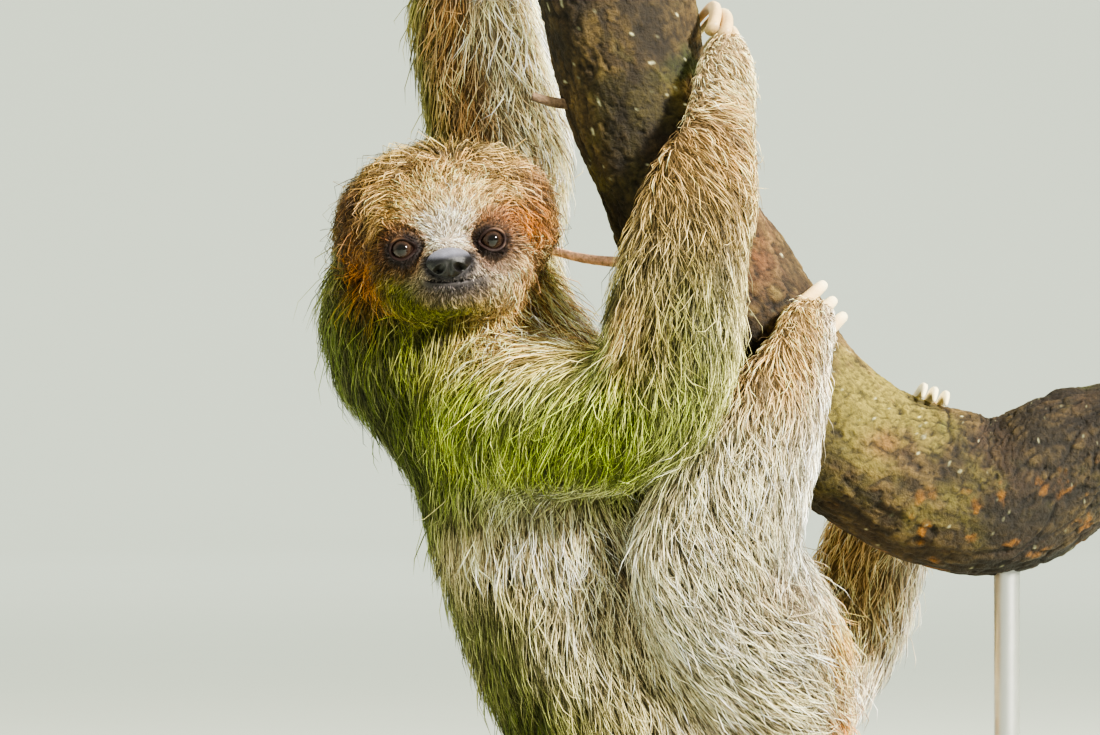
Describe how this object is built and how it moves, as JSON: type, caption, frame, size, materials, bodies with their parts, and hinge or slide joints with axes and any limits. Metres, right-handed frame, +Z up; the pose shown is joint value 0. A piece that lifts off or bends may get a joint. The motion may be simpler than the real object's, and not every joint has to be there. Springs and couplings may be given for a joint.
{
  "type": "three-toed sloth",
  "caption": "Life-size still model of a young three-toed sloth with a long algae-tinged coat, clinging to a curved length of branch on a flat display stand.",
  "frame": {"origin": "centre of the base's underside", "axes": "+Z up, +X from the animal's back towards the branch it clings to, -Y the side its face is turned to; its right limbs are on the -Y side of the branch and its left limbs on the +Y side"},
  "size_m": [0.3852, 0.2189, 0.5654],
  "materials": {
    "body_coat": "long coarse hair, greyish cream to tan",
    "green_coat": "long coarse hair, yellow-green with algae",
    "head_coat": "shorter hair, cream, orange-brown and olive",
    "pale_coat": "short cream to tan hair",
    "claw": "smooth ivory horn",
    "eye": "wet dark brown",
    "nose": "moist black-grey skin",
    "bark": "rough brown bark with lichen and moss",
    "stand_wood": "dark stained and waxed",
    "stand_steel": "brushed"
  },
  "bodies": {
    "root": {"head": "head_coat", "nose": "nose", "eye_right": "eye", "eye_left": "eye", "neck": "head_coat", "trunk": "body_coat", "tail": "body_coat", "right_upper_arm": "green_coat", "right_forearm": "green_coat", "right_hand": "pale_coat", "left_upper_arm": "body_coat", "left_forearm": "body_coat", "left_hand": "pale_coat", "right_thigh": "body_coat", "right_shank": "body_coat", "right_foot": "pale_coat", "left_thigh": "body_coat", "left_shank": "body_coat", "left_foot": "pale_coat", "right_hand_claw_1": "claw", "right_hand_claw_2": "claw", "right_hand_claw_3": "claw", "left_hand_claw_1": "claw", "left_hand_claw_2": "claw", "left_hand_claw_3": "claw", "right_foot_claw_1": "claw", "right_foot_claw_2": "claw", "right_foot_claw_3": "claw", "left_foot_claw_1": "claw", "left_foot_claw_2": "claw", "left_foot_claw_3": "claw", "perch_branch": "bark", "stand_base": "stand_wood", "stand_rod_perch": "stand_steel", "stand_rod_body": "stand_steel"}
  },
  "joints": []
}
